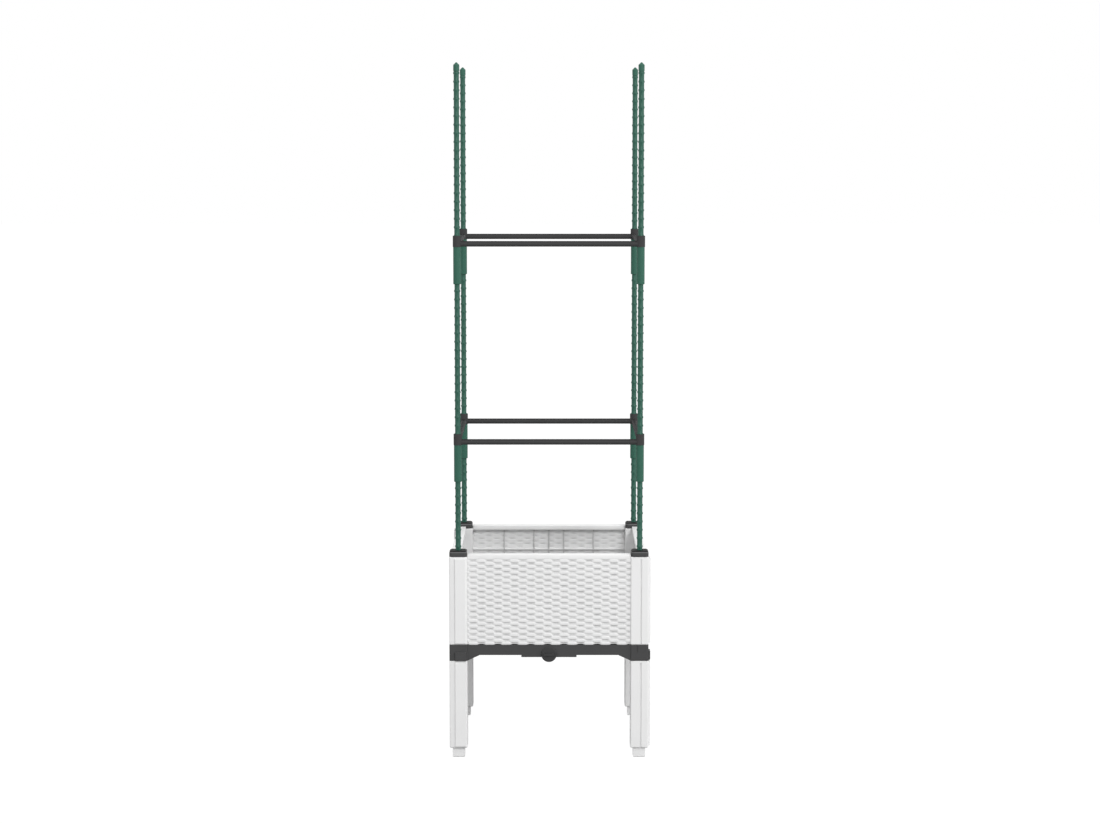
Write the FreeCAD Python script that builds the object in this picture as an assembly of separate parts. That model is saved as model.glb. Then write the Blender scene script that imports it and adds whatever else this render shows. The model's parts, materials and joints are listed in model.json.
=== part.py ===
"""A raised planter with a push-together trellis: sizes in millimetres, +Z up, origin under its middle."""
import FreeCAD, Part
import os

# Overall sizes
overall_width = 400.0
post_size = 36.0
post_length = 179.0
tray_corner_height = 32.0
stake_length = 393.0

# Post and leg moulding
post_edge_radius = 2.5
post_top_bevel = 1.5
post_bottom_bevel = 2.0
post_wall = 5.6
post_floor = 4.0
peg_length = 20.0
peg_wall = 3.2
peg_bevel = 1.5
socket_clearance = 0.2
strip_width = 24.8
strip_height = 4.0
strip_end_gap = 3.0
strip_bevel = 1.0
groove_from_corner = 15.3
groove_width = 3.0
groove_depth = 3.0
groove_end_gap = 4.5

# Wall panel
panel_setback = 3.0
panel_rise_above_post = 4.5
panel_thickness = 6.0
panel_end_clearance = 0.3
tongue_setback = 5.0
tongue_thickness = 4.0
tongue_depth = 3.7
tongue_clearance = 0.3
bottom_tongue_depth = 6.0
bottom_tongue_end_gap = 4.0
rim_height = 10.0
rim_depth = 19.0
rim_edge_radius = 1.5
rib_thickness = 2.0
rib_depth = 4.5
rib_pitch = 64.0
rib_rows = 3

# Base tray
apron_setback = 2.5
apron_height = 21.3
apron_depth = 12.0
apron_edge_radius = 3.0
tray_floor_thickness = 3.0
tray_floor_overlap = 1.0
gusset_length = 24.0
tray_block_height = 17.5
tray_peg_length = 19.5
tray_groove_from_corner = 22.3
tray_groove_width = 2.0
tray_groove_depth = 1.0
stake_seat_height = 4.0
lip_half_width = 55.5
lip_height = 3.7

# Drain outlet and plug
outlet_roof = 1.5
outlet_wall = 3.5
outlet_length = 48.0
plug_overhang = 0.8
plug_thickness = 4.0
plug_edge_radius = 1.5
plug_spigot_radius = 10.9
plug_spigot_length = 12.0
plug_spigot_wall = 2.4
plug_clearance = 0.3
plug_grip_length = 22.0
plug_grip_width = 5.0
plug_grip_height = 2.5

# Post cap
cap_inset = 0.4
cap_height = 12.0
cap_corner_radius = 6.0
cap_edge_radius = 4.5
cap_plug_length = 14.0

# Stakes, sleeves and tips
stake_radius = 5.3
ferrule_wall = 0.8
ferrule_length = 16.0
ferrule_bevel = 0.6
bore_clearance = 0.3
sleeve_length = 74.0
sleeve_wall = 1.3
sleeve_web = 2.0
sleeve_bevel = 0.6
tip_wall_clearance = 0.15
tip_length = 12.0
tip_cone_height = 5.0
tip_point_radius = 1.0

# Corner clips and tie bars
clip_wall = 2.0
clip_height = 22.0
arm_above_clip_base = 0.4
bar_radius = 5.6
bar_wall = 1.1
bar_end_from_stake = 21.5
bar_end_clearance = 0.1
stub_clearance = 0.2
stub_insertion = 20.0
stub_bevel = 1.0

# Derived places
half_width = overall_width / 2
post_centre = half_width - post_size / 2
post_inner_face = half_width - post_size
socket_size = post_size - 2 * post_wall
peg_size = socket_size - 2 * socket_clearance
peg_hollow_size = peg_size - 2 * peg_wall
cap_size = post_size - 2 * cap_inset
leg_base = peg_length
leg_top = leg_base + post_length
tray_top = leg_top + tray_corner_height
post_top = tray_top + post_length
cap_top = post_top + cap_height
wall_top = post_top + panel_rise_above_post
apron_base = tray_top - apron_height
apron_face = half_width - apron_setback
apron_inner_face = apron_face - apron_depth
tray_floor_top = apron_base + tray_floor_thickness
peg_seat = tray_top - peg_length
ferrule_radius = stake_radius + ferrule_wall
bore_radius = ferrule_radius + bore_clearance
sleeve_radius = bore_radius + sleeve_wall
clip_radius = bore_radius + clip_wall
lower_stake_base = leg_top + stake_seat_height
tier_pitch = stake_length + sleeve_web
lower_web_base = lower_stake_base + stake_length
lower_sleeve_base = lower_web_base + sleeve_web / 2 - sleeve_length / 2
lower_clip_base = lower_sleeve_base + sleeve_length
lower_bar_height = lower_clip_base + arm_above_clip_base + bar_radius
stub_radius = bar_radius - bar_wall - stub_clearance
panel_groove_depth = bottom_tongue_depth + tongue_clearance
outlet_bore_radius = plug_spigot_radius + plug_clearance
outlet_height = tray_top - panel_groove_depth - outlet_roof - outlet_bore_radius
plug_radius = outlet_bore_radius + outlet_wall + plug_overhang
touch = 0.001

corner_turns = {"front_left": 0, "front_right": 90, "back_right": 180, "back_left": 270}
side_turns = {"front": 0, "right": 90, "back": 180, "left": 270}

UP = FreeCAD.Vector(0, 0, 1)
ORIGIN = FreeCAD.Vector(0, 0, 0)


def block(low, high):
    """A box between two opposite corners."""
    size = [top - bottom for bottom, top in zip(low, high)]
    return Part.makeBox(*size, FreeCAD.Vector(*low))


def square_block(centre, size, base, top):
    """An upright box with a square plan about a point."""
    half = size / 2
    low = (centre[0] - half, centre[1] - half, base)
    high = (centre[0] + half, centre[1] + half, top)
    return block(low, high)


def rod(centre, radius, base, top):
    """An upright cylinder."""
    return Part.makeCylinder(radius, top - base, FreeCAD.Vector(*centre, base))


def upright_edges(shape):
    """The edges of a box that run straight up."""
    return [edge for edge in shape.Edges if edge.BoundBox.ZLength > shape.BoundBox.ZLength - touch]


def edges_at(shape, height):
    """The edges that lie flat at a height."""
    level = []
    for edge in shape.Edges:
        box = edge.BoundBox
        if abs(box.ZMin - height) < touch and abs(box.ZMax - height) < touch:
            level.append(edge)
    return level


def bevel_end(shape, height, size):
    """Bevels the round edge at one end of an upright cylinder."""
    return shape.makeChamfer(size, edges_at(shape, height))


def turned(shape, angle):
    """A copy turned about the planter's upright middle line."""
    copy = shape.copy()
    copy.rotate(ORIGIN, UP, angle)
    return copy


def raised(shape, height):
    """A copy lifted by a height."""
    copy = shape.copy()
    copy.translate(FreeCAD.Vector(0, 0, height))
    return copy


def save(name, shape):
    """Writes one sub-part as the solids it is made of."""
    clean = shape.removeSplitter()
    for solid in clean.Solids:
        if not solid.isValid():
            raise ValueError(f"{name} is not a valid solid")
    clean.exportStep(f"parts/{name}.step")
    print(f"{name}: {len(clean.Solids)} solid, {clean.Volume / 1000:.2f} cm3")


# Every corner piece is drawn at the front left corner and turned to its place
FRONT_LEFT = (-post_centre, -post_centre)


def post():
    """The corner moulding: hollow square body, outer strip, outer groove, panel channels and peg."""
    body = square_block(FRONT_LEFT, post_size, tray_top, post_top)
    body = body.makeFillet(post_edge_radius, upright_edges(body))
    body = body.makeChamfer(post_top_bevel, edges_at(body, post_top))
    body = body.makeChamfer(post_bottom_bevel, edges_at(body, tray_top))
    body = body.fuse(outer_strip(tray_top + strip_end_gap, post_top - strip_end_gap))
    body = body.fuse(peg(peg_seat, tray_top + post_bottom_bevel))
    hollow = square_block(FRONT_LEFT, socket_size, tray_top + post_floor, post_top)
    peg_hollow = square_block(FRONT_LEFT, peg_hollow_size, peg_seat + peg_wall, tray_top + post_floor)
    stake_hole = rod(FRONT_LEFT, bore_radius, peg_seat, post_top)
    groove = outer_groove(groove_from_corner, groove_width, groove_depth, tray_top, post_top - groove_end_gap)
    return body.cut([hollow, peg_hollow, stake_hole, groove, *panel_channels()])


def outer_strip(base, top):
    """The proud strip on the outer face, next to the wall panel."""
    right = -post_inner_face - post_edge_radius
    left = -post_inner_face - strip_width
    root = -half_width + strip_height
    strip = block((left, -half_width - strip_height, base), (right, root, top))
    front = [edge for edge in strip.Edges if edge.BoundBox.YMax < -half_width - strip_height + touch]
    return strip.makeChamfer(strip_bevel, front)


def peg(base, top):
    """The square peg with a bevelled lead-in at its lower end."""
    shape = square_block(FRONT_LEFT, peg_size, base, top)
    return shape.makeChamfer(peg_bevel, edges_at(shape, base))


def outer_groove(from_corner, width, depth, base, top):
    """An upright groove on the other outer face."""
    middle = -half_width + from_corner
    return block((-half_width, middle - width / 2, base), (-half_width + depth, middle + width / 2, top))


def panel_channels():
    """The two upright channels that take the wall panels' side tongues."""
    outer = -half_width + tongue_setback - tongue_clearance
    inner = -half_width + tongue_setback + tongue_thickness + tongue_clearance
    mouth = -post_inner_face
    bottom = mouth - tongue_depth - tongue_clearance
    front_channel = block((bottom, outer, tray_top), (mouth, inner, post_top))
    side_channel = block((outer, bottom, tray_top), (inner, mouth, post_top))
    return [front_channel, side_channel]


def post_cap():
    """The rounded cap with a hollow square plug and a stake hole."""
    shell = square_block(FRONT_LEFT, cap_size, post_top, cap_top)
    shell = shell.makeFillet(cap_corner_radius, upright_edges(shell))
    shell = shell.makeFillet(cap_edge_radius, edges_at(shell, cap_top))
    plug = square_block(FRONT_LEFT, peg_size, post_top - cap_plug_length, post_top)
    plug = plug.makeChamfer(peg_bevel, edges_at(plug, post_top - cap_plug_length))
    hollow = square_block(FRONT_LEFT, peg_hollow_size, post_top - cap_plug_length, post_top)
    stake_hole = rod(FRONT_LEFT, bore_radius, post_top - cap_plug_length, cap_top)
    return shell.fuse(plug).cut([hollow, stake_hole])


def wall_panel():
    """The front wall: slab, top rim, tongues and inner ribs."""
    end = post_inner_face - panel_end_clearance
    face = -half_width + panel_setback
    back = face + panel_thickness
    rim_base = wall_top - rim_height
    slab = block((-end, face, tray_top), (end, back, rim_base))
    rim = block((-end, face, rim_base), (end, face + rim_depth, wall_top))
    rim = rim.makeFillet(rim_edge_radius, [e for e in edges_at(rim, wall_top) if e.BoundBox.XLength > end])
    tongue_face = -half_width + tongue_setback
    tongue_back = tongue_face + tongue_thickness
    reach = post_inner_face + tongue_depth
    side_tongues = block(
        (-reach, tongue_face, tray_top + tongue_clearance),
        (reach, tongue_back, post_top - tongue_clearance),
    )
    foot = post_inner_face - bottom_tongue_end_gap
    bottom_tongue = block((-foot, tongue_face, tray_top - bottom_tongue_depth), (foot, tongue_back, tray_top))
    return slab.fuse([rim, side_tongues, bottom_tongue, *panel_ribs(end, back, rim_base)])


def panel_ribs(end, back, rim_base):
    """The upright and level ribs on the inside of a wall."""
    upright_places = [0.0]
    for side in (-1, 1):
        upright_places += [side * rib_pitch / 2, side * rib_pitch * 3 / 2]
    half = rib_thickness / 2
    foot = tray_top + rib_thickness
    inner = back + rib_depth
    ribs = [block((x - half, back, foot), (x + half, inner, rim_base)) for x in upright_places]
    row_pitch = (rim_base - tray_top) / (rib_rows + 1)
    for row in range(1, rib_rows + 1):
        level = rim_base - row * row_pitch
        ribs.append(block((-end, back, level - half), (end, inner, level + half)))
    return ribs


def base_tray():
    """The tray: apron ring, water floor, corner blocks, gussets and the drain outlet."""
    corners = [turned(tray_corner(), angle) for angle in corner_turns.values()]
    aprons = [turned(apron(), angle) for angle in side_turns.values()]
    floor_half = apron_inner_face + tray_floor_overlap
    floor = block((-floor_half, -floor_half, apron_base), (floor_half, floor_half, tray_floor_top))
    tray = floor.fuse([*corners, *aprons, outlet_lip(), outlet_tube()])
    hollows = [turned(cut, angle) for angle in corner_turns.values() for cut in corner_hollows()]
    grooves = [turned(panel_groove(), angle) for angle in side_turns.values()]
    return tray.cut([outlet_bore(), *hollows, *grooves])


def tray_corner():
    """One corner block with its proud foot and the peg that stands in the leg."""
    body = square_block(FRONT_LEFT, post_size, leg_top, tray_top)
    body = body.makeFillet(post_edge_radius, upright_edges(body))
    foot = outer_strip(leg_top, leg_top + tray_block_height)
    leg_peg = peg(leg_top - tray_peg_length, leg_top)
    return body.fuse([foot, leg_peg])


def corner_hollows():
    """The post socket, the blind stake seat, the hollow in the corner peg and the outer groove."""
    socket = square_block(FRONT_LEFT, socket_size, peg_seat, tray_top)
    seat = rod(FRONT_LEFT, bore_radius, lower_stake_base, peg_seat)
    hollow = square_block(FRONT_LEFT, peg_hollow_size, leg_top - tray_peg_length, leg_top - peg_wall)
    shoulder = leg_top + tray_block_height
    groove = outer_groove(tray_groove_from_corner, tray_groove_width, tray_groove_depth, shoulder, tray_top)
    return [socket, seat, hollow, groove]


def apron():
    """The front run of the apron with its rounded lower edge and a sloping gusset at each end."""
    reach = post_inner_face
    run = block((-reach, -apron_face, apron_base), (reach, -apron_inner_face, tray_top))
    lower = [e for e in edges_at(run, apron_base) if e.BoundBox.YMax < -apron_face + touch]
    run = run.makeFillet(apron_edge_radius, lower)
    return run.fuse([gusset(-1), gusset(1)])


def gusset(side):
    """The sloping web from a corner block up to the apron's lower edge."""
    outer = side * post_inner_face
    inner = side * (post_inner_face - gusset_length)
    rise = apron_base + apron_edge_radius
    outline = [(outer, leg_top), (outer, rise), (inner, rise), (inner, apron_base)]
    points = [FreeCAD.Vector(x, -apron_face, z) for x, z in [*outline, outline[0]]]
    return Part.Face(Part.makePolygon(points)).extrude(FreeCAD.Vector(0, apron_depth, 0))


def panel_groove():
    """The groove along the apron's top for a wall's bottom tongue."""
    reach = post_inner_face - bottom_tongue_end_gap + tongue_clearance
    outer = -half_width + tongue_setback - tongue_clearance
    inner = -half_width + tongue_setback + tongue_thickness + tongue_clearance
    return block((-reach, outer, tray_top - panel_groove_depth), (reach, inner, tray_top))


def outlet_lip():
    """The lower lip under the middle of the front apron."""
    low = (-lip_half_width, -apron_face, apron_base - lip_height)
    high = (lip_half_width, -apron_inner_face, apron_base + apron_edge_radius)
    return block(low, high)


def lying_rod(radius, start, end):
    """A cylinder along the outlet's axis, which runs front to back."""
    base = FreeCAD.Vector(0, start, outlet_height)
    return Part.makeCylinder(radius, end - start, base, FreeCAD.Vector(0, 1, 0))


def outlet_tube():
    """The round outlet in the apron, which runs on as an open trough under the floor."""
    radius = outlet_bore_radius + outlet_wall
    through = lying_rod(radius, -apron_face, -apron_inner_face)
    trough = lying_rod(radius, -apron_face, -apron_face + outlet_length)
    above = block(
        (-radius, -apron_inner_face, tray_floor_top),
        (radius, -apron_face + outlet_length, outlet_height + radius),
    )
    return through.fuse(trough.cut(above))


def outlet_bore():
    """The water's way out, closed at the trough's inner end."""
    return lying_rod(outlet_bore_radius, -apron_face, -apron_face + outlet_length - outlet_wall)


def drain_plug():
    """The round plug with a hollow spigot and a grip bar across its face."""
    face = -apron_face - plug_thickness
    head = lying_rod(plug_radius, face, -apron_face)
    front = [edge for edge in head.Edges if edge.BoundBox.YMax < face + touch]
    head = head.makeFillet(plug_edge_radius, front)
    spigot = lying_rod(plug_spigot_radius, -apron_face, -apron_face + plug_spigot_length)
    hollow = lying_rod(
        plug_spigot_radius - plug_spigot_wall,
        -apron_face - plug_thickness / 2,
        -apron_face + plug_spigot_length,
    )
    grip = block(
        (-plug_grip_length / 2, face - plug_grip_height, outlet_height - plug_grip_width / 2),
        (plug_grip_length / 2, face, outlet_height + plug_grip_width / 2),
    )
    return head.fuse([spigot, grip]).cut(hollow)


def stake(base, top_ferrule):
    """A coated stake with a thicker ferrule at its foot and, where it is joined again, at its top."""
    top = base + stake_length
    core = rod(FRONT_LEFT, stake_radius, base, top)
    foot = rod(FRONT_LEFT, ferrule_radius, base, base + ferrule_length)
    foot = bevel_end(foot, base, ferrule_bevel)
    if not top_ferrule:
        return core.fuse(foot)
    head = rod(FRONT_LEFT, ferrule_radius, top - ferrule_length, top)
    head = bevel_end(head, top, ferrule_bevel)
    return core.fuse([foot, head])


def sleeve():
    """The lower joining sleeve, open at both ends with a stop web in its middle."""
    top = lower_sleeve_base + sleeve_length
    tube = rod(FRONT_LEFT, sleeve_radius, lower_sleeve_base, top)
    tube = bevel_end(tube, lower_sleeve_base, sleeve_bevel)
    lower_bore = rod(FRONT_LEFT, bore_radius, lower_sleeve_base, lower_web_base)
    upper_bore = rod(FRONT_LEFT, bore_radius, lower_web_base + sleeve_web, top)
    return tube.cut([lower_bore, upper_bore])


def stake_tip():
    """The pointed cap on an upper stake's end."""
    stake_top = lower_stake_base + 2 * tier_pitch + stake_length
    skirt = rod(FRONT_LEFT, ferrule_radius, stake_top - tip_length, stake_top)
    point_base = FreeCAD.Vector(*FRONT_LEFT, stake_top)
    point = Part.makeCone(ferrule_radius, tip_point_radius, tip_cone_height, point_base)
    bore = rod(FRONT_LEFT, stake_radius + tip_wall_clearance, stake_top - tip_length, stake_top)
    return skirt.fuse(point).cut(bore)


def clip():
    """The lower corner clip: a ring that rests on the sleeve and two round arms that end in bar stubs."""
    top = lower_clip_base + clip_height
    ring = rod(FRONT_LEFT, clip_radius, lower_clip_base, top)
    x, y = FRONT_LEFT
    root = FreeCAD.Vector(x, y, lower_bar_height)
    along = FreeCAD.Vector(1, 0, 0)
    arm = Part.makeCylinder(bar_radius, bar_end_from_stake - bar_end_clearance, root, along)
    stub = Part.makeCylinder(stub_radius, bar_end_from_stake + stub_insertion, root, along)
    stub = stub.makeChamfer(stub_bevel, [e for e in stub.Edges if e.BoundBox.XMin > x + bar_end_from_stake])
    arm = arm.fuse(stub)
    other_arm = arm.copy()
    other_arm.rotate(FreeCAD.Vector(x, y, 0), UP, 90)
    bore = rod(FRONT_LEFT, bore_radius, lower_clip_base, top)
    return ring.fuse([arm, other_arm]).cut(bore)


def tie_bar():
    """The lower front bar, a tube between two clips."""
    reach = post_centre - bar_end_from_stake
    base = FreeCAD.Vector(-reach, -post_centre, lower_bar_height)
    along = FreeCAD.Vector(1, 0, 0)
    tube = Part.makeCylinder(bar_radius, 2 * reach, base, along)
    return tube.cut(Part.makeCylinder(bar_radius - bar_wall, 2 * reach, base, along))


def main():
    """Draws each piece once and writes a copy for every place that it has."""
    os.makedirs("parts", exist_ok=True)
    upper_stake_base = lower_stake_base + 2 * tier_pitch
    corner_pieces = {
        "leg": raised(post(), -(tray_top - leg_base)),
        "post": post(),
        "post_cap": post_cap(),
        "lower_stake": stake(lower_stake_base, True),
        "middle_stake": stake(lower_stake_base + tier_pitch, True),
        "upper_stake": stake(upper_stake_base, False),
        "stake_tip": stake_tip(),
        "lower_sleeve": sleeve(),
        "upper_sleeve": raised(sleeve(), tier_pitch),
        "lower_clip": clip(),
        "upper_clip": raised(clip(), tier_pitch),
    }
    side_pieces = {
        "panel": wall_panel(),
        "lower_bar": tie_bar(),
        "upper_bar": raised(tie_bar(), tier_pitch),
    }
    save("base_tray", base_tray())
    save("drain_plug", drain_plug())
    for name, shape in corner_pieces.items():
        for corner, angle in corner_turns.items():
            save(f"{name}_{corner}", turned(shape, angle))
    for name, shape in side_pieces.items():
        for side, angle in side_turns.items():
            save(f"{name}_{side}", turned(shape, angle))


main()
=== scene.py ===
"""Looks of the raised planter: woven walls, nubbed stakes, moulded plastics, studio and camera."""
import json
import math
import bmesh
import bpy
import numpy as np
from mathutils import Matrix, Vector


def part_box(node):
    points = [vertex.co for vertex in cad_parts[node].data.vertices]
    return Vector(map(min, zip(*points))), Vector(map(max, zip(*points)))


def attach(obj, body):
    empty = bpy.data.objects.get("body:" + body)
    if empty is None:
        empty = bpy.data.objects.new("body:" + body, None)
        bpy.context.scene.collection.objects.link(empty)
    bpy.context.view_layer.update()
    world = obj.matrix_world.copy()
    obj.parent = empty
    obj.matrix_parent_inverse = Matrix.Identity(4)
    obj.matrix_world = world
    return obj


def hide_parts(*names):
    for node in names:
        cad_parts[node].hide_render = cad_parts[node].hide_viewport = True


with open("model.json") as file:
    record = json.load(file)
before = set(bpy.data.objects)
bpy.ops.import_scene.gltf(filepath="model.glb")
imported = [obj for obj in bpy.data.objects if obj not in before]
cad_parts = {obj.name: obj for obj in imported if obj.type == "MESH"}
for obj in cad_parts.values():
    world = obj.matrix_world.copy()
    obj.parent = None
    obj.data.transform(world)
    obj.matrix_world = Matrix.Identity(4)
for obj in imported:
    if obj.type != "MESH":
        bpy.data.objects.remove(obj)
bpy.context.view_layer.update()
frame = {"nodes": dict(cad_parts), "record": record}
scene = bpy.context.scene
rng = np.random.default_rng(11)

SIDES = {"front": 0, "right": 90, "back": 180, "left": 270}
CORNERS = ("front_left", "front_right", "back_right", "back_left")
MM = 0.001

# Wall in millimetres, drawn at the front and turned to each side
FACE_Y = -197.0
SLAB_BACK_Y = -191.0
WALL_END_X = 163.7
WALL_BASE_Z = 231.0
WALL_TOP_Z = 414.5
WALL_SHARP_ANGLE = math.radians(38)
RIM_BASE_Z = 404.5
RIM_BACK_Y = -178.0
RIM_INSET = 0.3
RIM_BEVEL = 1.5
RIB_DEPTH = 4.5
RIB_HALF_WIDTH = 1.0
RIB_PLACES = (-96, -32, 0, 32, 96)
RIB_ROWS = 3
RIB_FOOT_GAP = 2.0
SIDE_TONGUE_END_X = 167.7
SIDE_TONGUE_FACE_Y = -195.0
SIDE_TONGUE_TOP_Z = 409.7
SIDE_TONGUE_FOOT_GAP = 0.3
BOTTOM_TONGUE_END_X = 160.0
BOTTOM_TONGUE_FACE_Y = -192.8
BOTTOM_TONGUE_BASE_Z = 225.0
BOTTOM_TONGUE_TOP_Z = 228.0
TOOTH_HALF_WIDTH = 5.0
TOOTH_BASE_Z = 226.0
TOOTH_COLUMNS = range(-9, 10, 2)
BLOCK_LAP = 1.0
BLOCK_BEVEL = 0.3

# Weave on the wall, its lengths in millimetres
POINTS_ACROSS = 241
COLUMN = 16.6
COLUMN_SHIFT = 3.0
COLUMNS_EACH_WAY = 11
ROWS = 30
BOLDNESS_SPREAD = 0.12
BOLDNESS_LIMIT = 1.5
STRAND_SPREAD = 0.75
SPREAD_SHARPNESS = 1.2
STRAND_CROWN = 0.5
CROWN_POWER = 4
STRAND_RISE = 0.2
STRAND_DROP = 3.3
DROP_DIFFERENCE = 0.35
DROP_TILT = 0.2
STRAND_LINES = (-1, -0.8, -0.5, 0, 0.5, 0.8, 1)
STRAND_GAP = 0.12
UNDER_FROM = -0.2
UNDER_FULL = 0.95
FOOT_NOTCH = 1.5
RIM_DROP = 0.6
INNER_RELIEF = 1.3
LEDGE_LINES = (-1, -0.5, 1)
LEDGE_HEIGHTS = (0, 1, 0)

# Painted shade: how strongly each part of the wall is darkened in place of the shade in its hollows and inner
# ledges and the shadow beside its upright ribs
OVER_SHADE = 0.1
UNDER_SHADE_GAIN = 0.9
LEDGE_SHADE = 0.7
RIB_SHADE = 1.7
RIB_SHADE_REACH = 1.5

# Coated stakes in millimetres
STAKE_LENGTH = 393.0
STAKE_RADIUS = 5.3
STAKE_SIDES = 48
STAKE_SHARP_ANGLE = math.radians(50)
FERRULE_RADIUS = 6.1
FERRULE_LENGTH = 16.0
FERRULE_BEVEL = 0.6
FERRULE_STEP = 0.05
NUB_PITCH = 16.8
NUB_HEIGHT = 0.95
NUB_HALF_LENGTH = 2.4
NUB_HALF_ANGLE = math.radians(20)
NUB_RINGS = np.linspace(-1.02, 1.02, 11)
NUB_END_GAP = 1.0

# Moulded plastics
DRIFT_SCALE = 14.0
SHEEN_SCALE = 70.0
SHEEN_SPREAD = 0.07
GRAIN_STRENGTH = 0.6
EDGE_SAMPLES = 4
# Grey that the woven wall's painted shade multiplies in
PAINTED_SHADE_TINT = (0.83, 0.83, 0.83, 1)
PLASTIC_IOR = 1.49
# Painted light by tilt is applied only above this height, clear of the tray
PAINTED_LIGHT_FROM_Z = 0.3

# Sockets of Blender's mix node, which share their names
MIX_FACTOR = 0
NUMBER_A = 2
NUMBER_B = 3
COLOUR_A = 6
COLOUR_B = 7
NUMBER_RESULT = 0
COLOUR_RESULT = 2

# Studio and camera, in metres and watts
WHITE = (1, 1, 1, 1)
FLOOR_REACH = 30
FLOOR_COLOUR = (0.4, 0.4, 0.4, 1)
FLOOR_GLOW = 1.2
FLOOR_GLOW_SHARE = 0.8
SKY_LIGHT = 0.85
SKY_SEEN = 1.0
LAMPS = (
    ("key", (1.466, -4.027, 3.075), 1.0, 72),
    ("side_fill", (4.6, -1.25, 3.2), 1.6, 32),
    ("low_fill", (4.6, -1.0, 0.5), 1.2, 12),
)
LAMP_TARGET = Vector((0, 0, 0.5))
SENSOR_WIDTH = 36.0
LENS = 81.3
CAMERA_PLACE = (0, -5.106, 1.248)
CAMERA_TILT = math.radians(6.35)
CAMERA_SIDE_AIM = 0.00043


def node_adder(tree):
    """Empties a node tree and gives a function that adds nodes with attributes or named inputs set."""
    tree.nodes.clear()

    def add(kind, **values):
        node = tree.nodes.new(kind)
        for key, value in values.items():
            if hasattr(node, key):
                setattr(node, key, value)
            else:
                node.inputs[key.replace("_", " ").title()].default_value = value
        return node

    return add


def new_material(name):
    """A new material with an empty node tree, and the function that adds nodes to it."""
    material = bpy.data.materials.new(name)
    material.use_nodes = True
    return material, node_adder(material.node_tree)


def painted_tilt_light(add, link, place, painted_tops):
    """Painted light for pieces above the tray: a grey factor by how far a face looks up, for darker top faces
    and a painted highlight.
    """
    facing = add("ShaderNodeSeparateXYZ")
    link(place.outputs["Normal"], facing.inputs[0])
    ramp = add("ShaderNodeValToRGB")
    stops = ramp.color_ramp.elements
    for count, (rise, value) in enumerate(painted_tops):
        stop = stops[count] if count < 2 else stops.new(rise)
        stop.position = rise
        stop.color = (value, value, value, 1)
    link(facing.outputs["Z"], ramp.inputs[0])
    spot = add("ShaderNodeSeparateXYZ")
    link(place.outputs["Object"], spot.inputs[0])
    above_tray = add("ShaderNodeMath", operation="GREATER_THAN")
    above_tray.inputs[1].default_value = PAINTED_LIGHT_FROM_Z
    link(spot.outputs["Z"], above_tray.inputs[0])
    painted_light = add("ShaderNodeMix", data_type="RGBA")
    painted_light.inputs[COLOUR_A].default_value = WHITE
    link(above_tray.outputs[0], painted_light.inputs[MIX_FACTOR])
    link(ramp.outputs[0], painted_light.inputs[COLOUR_B])
    return painted_light.outputs[COLOUR_RESULT]


def plastic(name, low, high, roughness, gloss, grain_scale, grain_depth, edge_radius, painted_tops=()):
    """Moulded plastic: drifting colour, uneven sheen, grain, soft edges, painted shade, and painted light by
    tilt if ramp stops are given.
    """
    material, add = new_material(name)
    link = material.node_tree.links.new
    place = add("ShaderNodeTexCoord")
    shader = add("ShaderNodeBsdfPrincipled")
    shader.inputs["Specular IOR Level"].default_value = gloss
    shader.inputs["IOR"].default_value = PLASTIC_IOR

    drift = add("ShaderNodeTexNoise", scale=DRIFT_SCALE, detail=4.0)
    link(place.outputs["Object"], drift.inputs["Vector"])
    tint = add("ShaderNodeMix", data_type="RGBA")
    tint.inputs[COLOUR_A].default_value = (*low, 1)
    tint.inputs[COLOUR_B].default_value = (*high, 1)
    link(drift.outputs["Fac"], tint.inputs[MIX_FACTOR])
    # Painted shade: darkens the woven wall by its per-point attribute, in place of shade and shadow
    painted_shade = add("ShaderNodeAttribute", attribute_name="painted_shade")
    shade = add("ShaderNodeMix", data_type="RGBA", blend_type="MULTIPLY", clamp_factor=False)
    shade.inputs[COLOUR_B].default_value = PAINTED_SHADE_TINT
    link(painted_shade.outputs["Fac"], shade.inputs[MIX_FACTOR])
    link(tint.outputs[COLOUR_RESULT], shade.inputs[COLOUR_A])
    colour = shade.outputs[COLOUR_RESULT]
    # Painted light: darker top faces and a painted highlight, with the gloss scaled alike into a painted
    # reflection
    if painted_tops:
        painted_light = painted_tilt_light(add, link, place, painted_tops)
        painted_light_mix = add("ShaderNodeMix", data_type="RGBA", blend_type="MULTIPLY")
        painted_light_mix.inputs[MIX_FACTOR].default_value = 1
        link(colour, painted_light_mix.inputs[COLOUR_A])
        link(painted_light, painted_light_mix.inputs[COLOUR_B])
        colour = painted_light_mix.outputs[COLOUR_RESULT]
        painted_gloss = add("ShaderNodeMath", operation="MULTIPLY")
        painted_gloss.inputs[1].default_value = gloss
        link(painted_light, painted_gloss.inputs[0])
        link(painted_gloss.outputs[0], shader.inputs["Specular IOR Level"])
    link(colour, shader.inputs["Base Color"])

    sheen = add("ShaderNodeTexNoise", scale=SHEEN_SCALE, detail=3.0)
    link(place.outputs["Object"], sheen.inputs["Vector"])
    spread = add("ShaderNodeMapRange", to_min=roughness - SHEEN_SPREAD, to_max=roughness + SHEEN_SPREAD)
    link(sheen.outputs["Fac"], spread.inputs["Value"])
    link(spread.outputs["Result"], shader.inputs["Roughness"])

    grain = add("ShaderNodeTexNoise", scale=grain_scale, detail=2.0)
    link(place.outputs["Object"], grain.inputs["Vector"])
    soft_edge = add("ShaderNodeBevel", samples=EDGE_SAMPLES, radius=edge_radius)
    bump = add("ShaderNodeBump", strength=GRAIN_STRENGTH, distance=grain_depth)
    link(grain.outputs["Fac"], bump.inputs["Height"])
    link(soft_edge.outputs["Normal"], bump.inputs["Normal"])
    link(bump.outputs["Normal"], shader.inputs["Normal"])

    output = add("ShaderNodeOutputMaterial")
    link(shader.outputs["BSDF"], output.inputs["Surface"])
    return material


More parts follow.
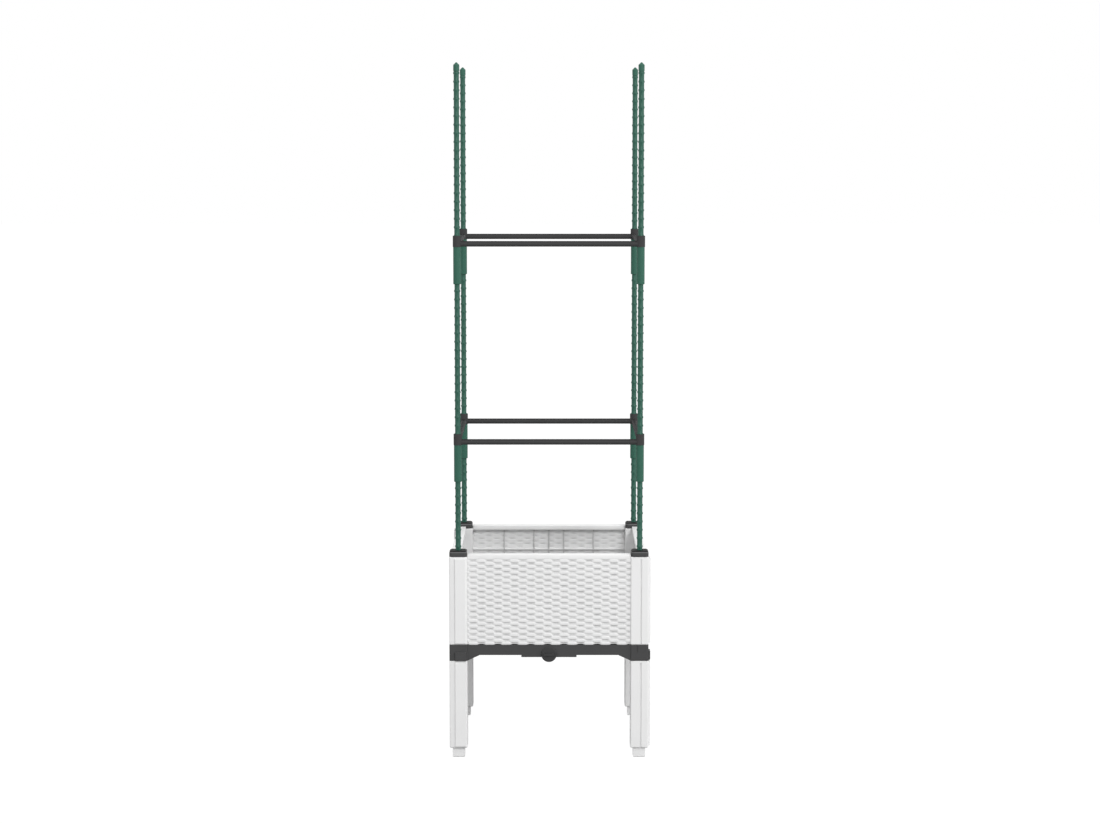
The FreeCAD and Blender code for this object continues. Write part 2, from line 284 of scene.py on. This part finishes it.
MATERIALS = {
    "white_plastic": plastic(
        "white_plastic", (0.88, 0.88, 0.88), (0.92, 0.92, 0.92), roughness=0.45, gloss=0.5,
        grain_scale=900, grain_depth=0.00006, edge_radius=0.0004),
    # Grey and black pieces get painted light by tilt: darker top faces, and on grey a painted highlight at
    # the upper edge
    "grey_plastic": plastic(
        "grey_plastic", (0.062, 0.062, 0.063), (0.076, 0.076, 0.077), roughness=0.55, gloss=0.2,
        grain_scale=1100, grain_depth=0.0001, edge_radius=0.0006,
        painted_tops=((0.1, 1.0), (0.32, 2.3), (0.55, 0.6), (0.8, 0.28))),
    "black_plastic": plastic(
        "black_plastic", (0.054, 0.054, 0.055), (0.065, 0.065, 0.066), roughness=0.6, gloss=0.06,
        grain_scale=1200, grain_depth=0.00006, edge_radius=0.0004,
        painted_tops=((0.35, 1.0), (0.9, 0.5))),
    "green_coating": plastic(
        "green_coating", (0.029, 0.110, 0.078), (0.037, 0.127, 0.092), roughness=0.45, gloss=0.35,
        grain_scale=1000, grain_depth=0.00005, edge_radius=0.0002),
    "green_fitting": plastic(
        "green_fitting", (0.028, 0.118, 0.081), (0.035, 0.130, 0.091), roughness=0.42, gloss=0.35,
        grain_scale=1000, grain_depth=0.00004, edge_radius=0.0004),
}


def grid_faces(rows, columns, first=0, flip=False):
    """Quads of a grid of points laid row by row."""
    faces = []
    for r in range(rows - 1):
        for c in range(columns - 1):
            a = first + r * columns + c
            quad = (a, a + 1, a + columns + 1, a + columns)
            faces.append(quad[::-1] if flip else quad)
    return faces


def eased(value, low, high):
    """Rises smoothly from 0 at the low value to 1 at the high one."""
    t = np.clip((value - low) / (high - low), 0, 1)
    return t * t * (3 - 2 * t)


def weave(x, boldness):
    """Strand lines over and under the columns in turn: heights on the wall, reliefs, covers and ledges."""
    pitch = (RIM_BASE_Z - WALL_BASE_Z) / ROWS
    turn = np.cos(math.pi * (x + COLUMN_SHIFT) / COLUMN)
    column = np.round((x + COLUMN_SHIFT) / COLUMN).astype(int) + COLUMNS_EACH_WAY
    drop = STRAND_DROP + DROP_DIFFERENCE * turn
    lines_z, lines_height, lines_under, lines_ledge = [], [], [], []
    for row in range(ROWS + 1):
        over = turn if row % 2 else -turn
        spread = STRAND_SPREAD * np.tanh(SPREAD_SHARPNESS * over)
        under = eased(-over, UNDER_FROM, UNDER_FULL) * boldness[row, column]
        depth = drop if row < ROWS else RIM_DROP
        low = WALL_BASE_Z + row * pitch + (STRAND_GAP / 2 - spread if row else FOOT_NOTCH * under)
        high = WALL_BASE_Z + (row + 1) * pitch + (spread - STRAND_GAP / 2 if row < ROWS else 0)
        for t in STRAND_LINES:
            rise = STRAND_RISE * np.maximum(over, 0) + STRAND_CROWN * (1 - abs(t) ** CROWN_POWER)
            lines_z.append((low + high) / 2 + t * (high - low) / 2)
            lines_height.append(rise - depth * under * (1 - DROP_TILT + DROP_TILT * t))
            lines_under.append(under * depth / drop)
            lines_ledge.append(np.maximum(over, 0) * np.interp(t, LEDGE_LINES, LEDGE_HEIGHTS))
    return np.array(lines_z), np.array(lines_height), np.array(lines_under), np.array(lines_ledge)


def wall_sheet():
    """Points, faces and painted shade levels of the woven slab: relief outside, its faint reverse inside,
    foot and ends.
    """
    x = np.linspace(-WALL_END_X, WALL_END_X, POINTS_ACROSS)
    draws = rng.standard_normal((ROWS + 1, 2 * COLUMNS_EACH_WAY + 1))
    boldness = 1 + BOLDNESS_SPREAD * draws.clip(-BOLDNESS_LIMIT, BOLDNESS_LIMIT)
    grid_z, height, under, ledge = weave(x, boldness)
    grid_x = np.broadcast_to(x, grid_z.shape)
    outer = np.stack([grid_x, FACE_Y + height.max() - height, grid_z], axis=-1)
    inner = np.stack([grid_x, SLAB_BACK_Y - INNER_RELIEF * ledge, grid_z], axis=-1)
    points = np.concatenate([outer.reshape(-1, 3), inner.reshape(-1, 3)])
    # Painted shade grows with how far a strand lies under, and fills the inner ledges
    shades = np.concatenate([OVER_SHADE + UNDER_SHADE_GAIN * under.ravel(), LEDGE_SHADE * ledge.ravel()])
    rows, columns = grid_x.shape
    back = rows * columns
    faces = grid_faces(rows, columns) + grid_faces(rows, columns, back, flip=True)
    for c in range(columns - 1):
        faces.append((c + 1, c, back + c, back + c + 1))
    for r in range(rows - 1):
        a, b = r * columns, (r + 1) * columns
        faces.append((a, b, back + b, back + a))
        a, b = a + columns - 1, b + columns - 1
        faces.append((b, a, back + a, back + b))
    return points, faces, shades


def add_block(bm, low, high, bevel=BLOCK_BEVEL):
    """Adds a box with softened edges."""
    made = bmesh.ops.create_cube(bm, size=1)["verts"]
    for vert in made:
        vert.co = Vector([lo + (c + 0.5) * (hi - lo) for c, lo, hi in zip(vert.co, low, high)])
    edges = list({edge for vert in made for edge in vert.link_edges})
    bmesh.ops.bevel(bm, geom=edges, offset=bevel, segments=3, affect="EDGES", profile=0.5)


def add_wall_blocks(bm):
    """Adds the wall's rim, upright and level ribs, side and bottom tongues, and the teeth at its foot."""
    add_block(
        bm, (-WALL_END_X, FACE_Y + RIM_INSET, RIM_BASE_Z), (WALL_END_X, RIM_BACK_Y, WALL_TOP_Z), RIM_BEVEL)
    rib_root = SLAB_BACK_Y - BLOCK_LAP
    rib_face = SLAB_BACK_Y + RIB_DEPTH
    for place in RIB_PLACES:
        low = (place - RIB_HALF_WIDTH, rib_root, WALL_BASE_Z + RIB_FOOT_GAP)
        add_block(bm, low, (place + RIB_HALF_WIDTH, rib_face, RIM_BASE_Z + BLOCK_LAP))
    for row in range(1, RIB_ROWS + 1):
        level = RIM_BASE_Z - row * (RIM_BASE_Z - WALL_BASE_Z) / (RIB_ROWS + 1)
        low = (-WALL_END_X, rib_root, level - RIB_HALF_WIDTH)
        add_block(bm, low, (WALL_END_X, rib_face, level + RIB_HALF_WIDTH))
    for side in (-1, 1):
        left, right = sorted((side * (WALL_END_X - BLOCK_LAP), side * SIDE_TONGUE_END_X))
        low = (left, SIDE_TONGUE_FACE_Y, WALL_BASE_Z + SIDE_TONGUE_FOOT_GAP)
        add_block(bm, low, (right, SLAB_BACK_Y, SIDE_TONGUE_TOP_Z))
    low = (-BOTTOM_TONGUE_END_X, BOTTOM_TONGUE_FACE_Y, BOTTOM_TONGUE_BASE_Z)
    add_block(bm, low, (BOTTOM_TONGUE_END_X, SLAB_BACK_Y, BOTTOM_TONGUE_TOP_Z))
    for count in TOOTH_COLUMNS:
        place = count * COLUMN - COLUMN_SHIFT
        low = (place - TOOTH_HALF_WIDTH, BOTTOM_TONGUE_FACE_Y, TOOTH_BASE_Z)
        add_block(bm, low, (place + TOOTH_HALF_WIDTH, SLAB_BACK_Y, WALL_BASE_Z + BLOCK_LAP))


def wall_mesh():
    """One woven wall with its rim, ribs and tongues, with painted shade in its hollows and painted shadow
    along its upright ribs.
    """
    points, faces, shades = wall_sheet()
    mesh = bpy.data.meshes.new("woven_wall")
    mesh.from_pydata(points.tolist(), [], faces)
    bm = bmesh.new()
    bm.from_mesh(mesh)
    # Per-point painted shade, which the plastic's shader reads
    painted_shade = bm.verts.layers.float.new("painted_shade")
    for vert, shade in zip(bm.verts, shades):
        vert[painted_shade] = shade
    add_wall_blocks(bm)
    # Painted shadow along the upright ribs, stronger than in the hollows
    for vert in bm.verts:
        near_rib = min(abs(vert.co.x - place) for place in RIB_PLACES) < RIB_SHADE_REACH
        if near_rib and vert.co.y > SLAB_BACK_Y - RIB_SHADE_REACH:
            vert[painted_shade] = RIB_SHADE
    bmesh.ops.scale(bm, vec=(MM, MM, MM), verts=bm.verts)
    bm.to_mesh(mesh)
    bm.free()
    smooth(mesh, WALL_SHARP_ANGLE)
    mesh.materials.append(MATERIALS["white_plastic"])
    return mesh


def smooth(mesh, sharp_angle):
    """Shades a mesh smooth, apart from edges sharper than the angle."""
    mesh.polygons.foreach_set("use_smooth", [True] * len(mesh.polygons))
    mesh.set_sharp_from_angle(angle=sharp_angle)


def stake_rings(length, top_ferrule):
    """Rings of points along a stake, each a height and a plain radius, and the heights of its nubs."""
    rings = [(0, FERRULE_RADIUS - FERRULE_BEVEL), (FERRULE_BEVEL, FERRULE_RADIUS)]
    rings += [(FERRULE_LENGTH, FERRULE_RADIUS), (FERRULE_LENGTH + FERRULE_STEP, STAKE_RADIUS)]
    end = length - FERRULE_LENGTH if top_ferrule else length
    level = FERRULE_LENGTH + NUB_PITCH / 2
    levels = []
    while level < end - NUB_HALF_LENGTH - NUB_END_GAP:
        levels.append(level)
        rings += [(level + NUB_HALF_LENGTH * t, STAKE_RADIUS) for t in NUB_RINGS]
        level += NUB_PITCH
    if top_ferrule:
        rings += [(end - FERRULE_STEP, STAKE_RADIUS), (end, FERRULE_RADIUS)]
        rings += [(length - FERRULE_BEVEL, FERRULE_RADIUS), (length, FERRULE_RADIUS - FERRULE_BEVEL)]
    else:
        rings.append((length, STAKE_RADIUS))
    return rings, np.array(levels)


def stake_mesh(name, length, top_ferrule):
    """A round stake with four nubs at each level."""
    rings, levels = stake_rings(length, top_ferrule)
    angles = np.arange(STAKE_SIDES) * 2 * math.pi / STAKE_SIDES
    quarter = math.pi / 2
    from_nub = (angles + quarter / 2) % quarter - quarter / 2
    points = []
    for z, radius in rings:
        along = np.abs(levels - z).min() / NUB_HALF_LENGTH
        swell = np.sqrt(np.clip(1 - along ** 2 - (from_nub / NUB_HALF_ANGLE) ** 2, 0, 1))
        reach = radius + NUB_HEIGHT * swell
        points += [(r * math.cos(a), r * math.sin(a), z) for r, a in zip(reach, angles)]
    faces = []
    for ring in range(len(rings) - 1):
        for k in range(STAKE_SIDES):
            a = ring * STAKE_SIDES + k
            b = ring * STAKE_SIDES + (k + 1) % STAKE_SIDES
            faces.append((a, b, b + STAKE_SIDES, a + STAKE_SIDES))
    faces.append(tuple(range(STAKE_SIDES))[::-1])
    last = (len(rings) - 1) * STAKE_SIDES
    faces.append(tuple(range(last, last + STAKE_SIDES)))
    mesh = bpy.data.meshes.new(name)
    mesh.from_pydata([tuple(c * MM for c in point) for point in points], [], faces)
    smooth(mesh, STAKE_SHARP_ANGLE)
    mesh.materials.append(MATERIALS["green_coating"])
    return mesh


def finish_piece(name, mesh, body, node, turn):
    """Puts a mesh in place of a CAD node, turned about the planter's middle line."""
    piece = bpy.data.objects.new(name, mesh)
    scene.collection.objects.link(piece)
    piece.rotation_euler.z = math.radians(turn)
    bpy.context.view_layer.update()
    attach(piece, body)
    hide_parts(node)


# Materials of the CAD pieces that stay
slot_of = {part["node"]: part["material_slot"] for part in frame["record"]["subparts"]}
for node, piece in frame["nodes"].items():
    piece.data.materials.clear()
    piece.data.materials.append(MATERIALS[slot_of[node]])

# Woven walls
wall = wall_mesh()
for side, turn in SIDES.items():
    finish_piece(f"woven_wall_{side}", wall, "planter", f"panel_{side}", turn)

# Stakes
joined = stake_mesh("joined_stake", STAKE_LENGTH, True)
ending = stake_mesh("ending_stake", STAKE_LENGTH, False)
for tier, mesh in (("lower", joined), ("middle", joined), ("upper", ending)):
    for corner in CORNERS:
        low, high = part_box(f"{tier}_stake_{corner}")
        piece = bpy.data.objects.new(f"nubbed_{tier}_stake_{corner}", mesh)
        scene.collection.objects.link(piece)
        piece.location = ((low.x + high.x) / 2, (low.y + high.y) / 2, low.z)
        bpy.context.view_layer.update()
        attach(piece, f"{tier}_tier")
        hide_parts(f"{tier}_stake_{corner}")


def add_floor():
    """A pale floor that the camera sees as nearly white."""
    mesh = bpy.data.meshes.new("floor")
    corners = [(x * FLOOR_REACH, y * FLOOR_REACH, 0) for x, y in ((-1, -1), (1, -1), (1, 1), (-1, 1))]
    mesh.from_pydata(corners, [], [(0, 1, 2, 3)])
    floor = bpy.data.objects.new("floor", mesh)
    scene.collection.objects.link(floor)
    material, add = new_material("pale_floor")
    link = material.node_tree.links.new
    matt = add("ShaderNodeBsdfDiffuse")
    matt.inputs["Color"].default_value = FLOOR_COLOUR
    glow = add("ShaderNodeEmission", strength=FLOOR_GLOW)
    glow.inputs["Color"].default_value = WHITE
    path = add("ShaderNodeLightPath")
    seen = add("ShaderNodeMath", operation="MULTIPLY")
    seen.inputs[1].default_value = FLOOR_GLOW_SHARE
    link(path.outputs["Is Camera Ray"], seen.inputs[0])
    mix = add("ShaderNodeMixShader")
    link(seen.outputs[0], mix.inputs[0])
    link(matt.outputs[0], mix.inputs[1])
    link(glow.outputs[0], mix.inputs[2])
    output = add("ShaderNodeOutputMaterial")
    link(mix.outputs[0], output.inputs["Surface"])
    mesh.materials.append(material)


def add_sky():
    """An even white sky, a little dimmer as a light than as seen directly or in a gloss."""
    world = bpy.data.worlds.new("studio")
    scene.world = world
    world.use_nodes = True
    add = node_adder(world.node_tree)
    link = world.node_tree.links.new
    path = add("ShaderNodeLightPath")
    seen_or_gloss = add("ShaderNodeMath", operation="MAXIMUM")
    link(path.outputs["Is Camera Ray"], seen_or_gloss.inputs[0])
    link(path.outputs["Is Glossy Ray"], seen_or_gloss.inputs[1])
    direct = add("ShaderNodeMath", operation="MAXIMUM")
    link(seen_or_gloss.outputs[0], direct.inputs[0])
    link(path.outputs["Is Transmission Ray"], direct.inputs[1])
    level = add("ShaderNodeMix")
    link(direct.outputs[0], level.inputs[MIX_FACTOR])
    level.inputs[NUMBER_A].default_value = SKY_LIGHT
    level.inputs[NUMBER_B].default_value = SKY_SEEN
    sky = add("ShaderNodeBackground")
    sky.inputs["Color"].default_value = WHITE
    link(level.outputs[NUMBER_RESULT], sky.inputs["Strength"])
    output = add("ShaderNodeOutputWorld")
    link(sky.outputs[0], output.inputs["Surface"])


def add_lamp(name, place, size, power):
    """A square soft box aimed at the planter's middle."""
    light = bpy.data.lights.new(name, "AREA")
    light.shape = "SQUARE"
    light.size = size
    light.energy = power
    holder = bpy.data.objects.new(name, light)
    scene.collection.objects.link(holder)
    holder.location = place
    holder.rotation_euler = (LAMP_TARGET - holder.location).to_track_quat("-Z", "Y").to_euler()


def add_camera():
    """The photograph's viewpoint: far back, a little below the stake tips and tipped down."""
    data = bpy.data.cameras.new("camera")
    data.sensor_width = SENSOR_WIDTH
    data.lens = LENS
    holder = bpy.data.objects.new("camera", data)
    scene.collection.objects.link(holder)
    holder.location = CAMERA_PLACE
    aim = Vector((CAMERA_SIDE_AIM, math.cos(CAMERA_TILT), -math.sin(CAMERA_TILT)))
    holder.rotation_euler = aim.to_track_quat("-Z", "Y").to_euler()
    scene.camera = holder


# Studio with a key from the front right and two weak fills from the right
add_floor()
add_sky()
for lamp in LAMPS:
    add_lamp(*lamp)
add_camera()
scene.view_settings.view_transform = "Standard"
